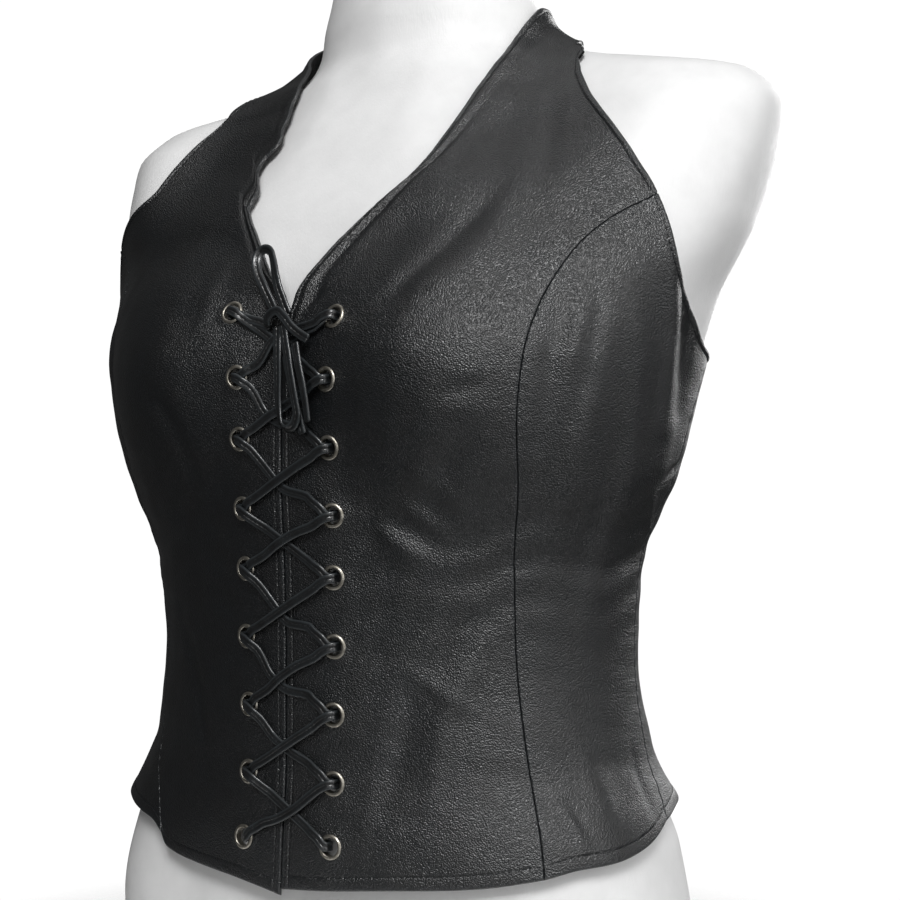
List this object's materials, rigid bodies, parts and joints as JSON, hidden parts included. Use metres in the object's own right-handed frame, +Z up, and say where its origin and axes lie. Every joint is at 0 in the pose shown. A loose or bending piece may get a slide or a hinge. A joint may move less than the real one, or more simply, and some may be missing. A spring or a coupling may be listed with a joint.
{
  "type": "leather vest on dress form",
  "caption": "Black leather halter vest with a laced front, princess seams and a bow, worn by a smooth white limbless dress form that stands on its flat base.",
  "frame": {"origin": "middle of the dress form's flat base", "axes": "+Z up, -Y out of the laced front, +X to the wearer's left"},
  "size_m": [0.453, 0.2516, 0.7],
  "materials": {
    "leather": "fine grain, satin",
    "lace": "folded and stitched flat lace",
    "eyelet": "worn nickel",
    "form": "satin white"
  },
  "bodies": {
    "root": {"dress_form": "form", "front_left": "leather", "front_right": "leather", "side_left": "leather", "side_right": "leather", "back": "leather", "eyelet_left_1": "eyelet", "eyelet_left_2": "eyelet", "eyelet_left_3": "eyelet", "eyelet_left_4": "eyelet", "eyelet_left_5": "eyelet", "eyelet_left_6": "eyelet", "eyelet_left_7": "eyelet", "eyelet_left_8": "eyelet", "eyelet_left_9": "eyelet", "eyelet_right_1": "eyelet", "eyelet_right_2": "eyelet", "eyelet_right_3": "eyelet", "eyelet_right_4": "eyelet", "eyelet_right_5": "eyelet", "eyelet_right_6": "eyelet", "eyelet_right_7": "eyelet", "eyelet_right_8": "eyelet", "eyelet_right_9": "eyelet", "lace_a": "lace", "lace_b": "lace", "bow_knot": "lace", "bow_loop_up": "lace", "bow_loop_down": "lace", "bow_end_long": "lace", "bow_end_short": "lace"}
  },
  "joints": []
}
